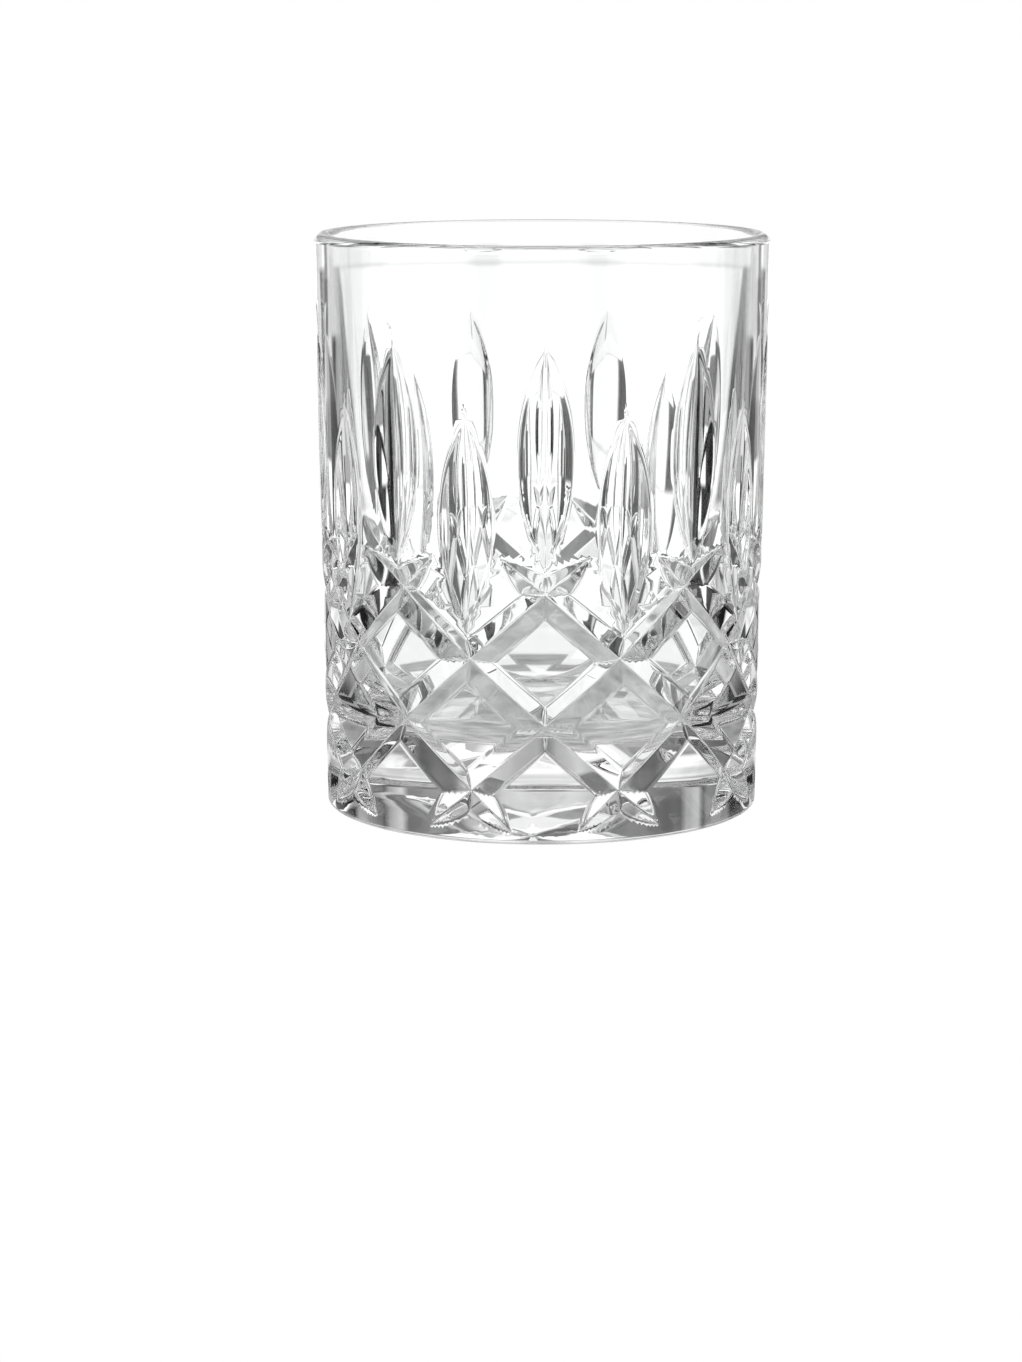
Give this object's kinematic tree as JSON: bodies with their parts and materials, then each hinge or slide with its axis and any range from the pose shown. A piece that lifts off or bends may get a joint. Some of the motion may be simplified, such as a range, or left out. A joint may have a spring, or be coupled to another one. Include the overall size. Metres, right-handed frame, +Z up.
{
  "type": "whiskey tumbler",
  "caption": "Straight-sided pressed crystal tumbler with a thick foot, upright leaf cuts and a diamond lattice of V grooves around its lower half, for short drinks.",
  "frame": {"origin": "centre of the flat underside", "axes": "+Z up along the axis of the glass, -Y towards the front, where a leaf cut of the upper row faces"},
  "size_m": [0.0772, 0.0772, 0.098],
  "materials": {
    "clear_glass": "fire-polished, colourless"
  },
  "bodies": {
    "root": {"glass_body": "clear_glass"}
  },
  "joints": []
}
